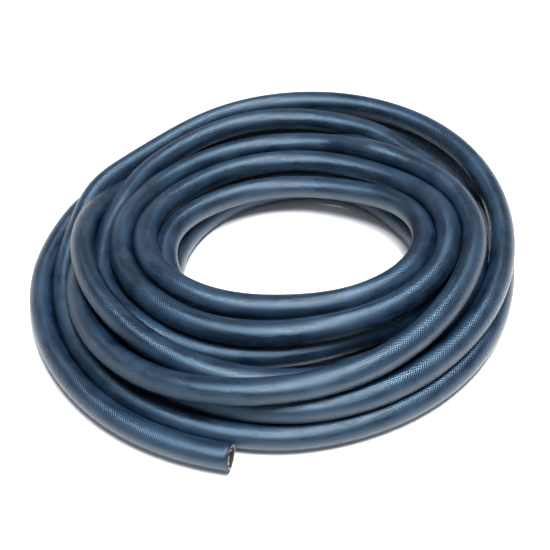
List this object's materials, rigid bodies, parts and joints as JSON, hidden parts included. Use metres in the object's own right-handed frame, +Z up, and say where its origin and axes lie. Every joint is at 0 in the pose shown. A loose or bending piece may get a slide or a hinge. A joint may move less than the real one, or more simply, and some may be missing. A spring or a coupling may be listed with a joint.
{
  "type": "coolant hose coil",
  "caption": "Loose coil of braid-reinforced blue-black rubber coolant hose, lying flat, with one square-cut free end at its side.",
  "frame": {"origin": "on the floor, at the middle of the part's bounding box", "axes": "+Z up along the coil's axis, -Y to the side that the free end is cut on"},
  "size_m": [0.432, 0.4158, 0.0542],
  "materials": {
    "hose_rubber": "satin blue-black rubber with a fine cloth imprint, a little dusty"
  },
  "bodies": {
    "root": {"hose_coil": "hose_rubber", "hose_free_end": "hose_rubber"}
  },
  "joints": []
}
